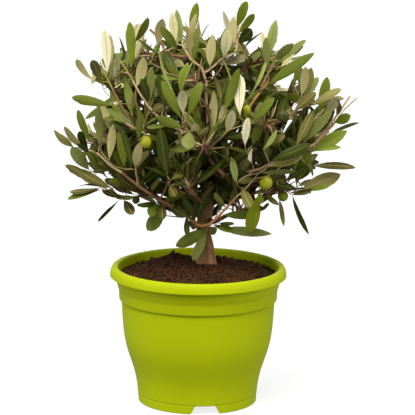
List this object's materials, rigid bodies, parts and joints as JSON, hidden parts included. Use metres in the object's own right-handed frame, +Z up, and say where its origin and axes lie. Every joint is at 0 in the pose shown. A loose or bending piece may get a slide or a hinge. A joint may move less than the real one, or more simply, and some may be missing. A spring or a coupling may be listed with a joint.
{
  "type": "potted olive tree",
  "caption": "Small olive tree with a round, open crown of narrow grey-green leaves and green olives, on a short trunk in a lime-green plastic pot with a rolled rim.",
  "frame": {"origin": "centre of the pot's foot, on the ground that the pot stands on", "axes": "+Z up; -Y is the front, the side that the picture shows; +X is to the right as seen from the front"},
  "size_m": [0.3217, 0.3055, 0.4426],
  "materials": {
    "pot": "satin",
    "soil": "matte",
    "bark": "matte",
    "leaf": "satin"
  },
  "bodies": {
    "root": {"pot": "pot", "soil": "soil", "trunk": "bark", "leader": "bark", "bough_top": "bark", "bough_top_right": "bark", "bough_top_left": "bark", "bough_top_back": "bark", "bough_top_front": "bark", "bough_left_high": "bark", "bough_right_high": "bark", "bough_back_left_high": "bark", "bough_back_right_high": "bark", "bough_left": "bark", "bough_front_left": "bark", "bough_front": "bark", "bough_front_right": "bark", "bough_right": "bark", "bough_back_right": "bark", "bough_back": "bark", "bough_back_left": "bark", "bough_left_low": "bark", "bough_front_low": "bark", "bough_right_low": "bark", "bough_back_low": "bark", "bough_skirt_right": "bark", "bough_skirt": "bark", "foliage_top": "leaf", "foliage_top_right": "leaf", "foliage_top_left": "leaf", "foliage_top_back": "leaf", "foliage_top_front": "leaf", "foliage_left_high": "leaf", "foliage_right_high": "leaf", "foliage_back_left_high": "leaf", "foliage_back_right_high": "leaf", "foliage_left": "leaf", "foliage_front_left": "leaf", "foliage_front": "leaf", "foliage_front_right": "leaf", "foliage_right": "leaf", "foliage_back_right": "leaf", "foliage_back": "leaf", "foliage_back_left": "leaf", "foliage_left_low": "leaf", "foliage_front_low": "leaf", "foliage_right_low": "leaf", "foliage_back_low": "leaf", "foliage_skirt_right": "leaf", "foliage_skirt": "leaf"}
  },
  "joints": []
}
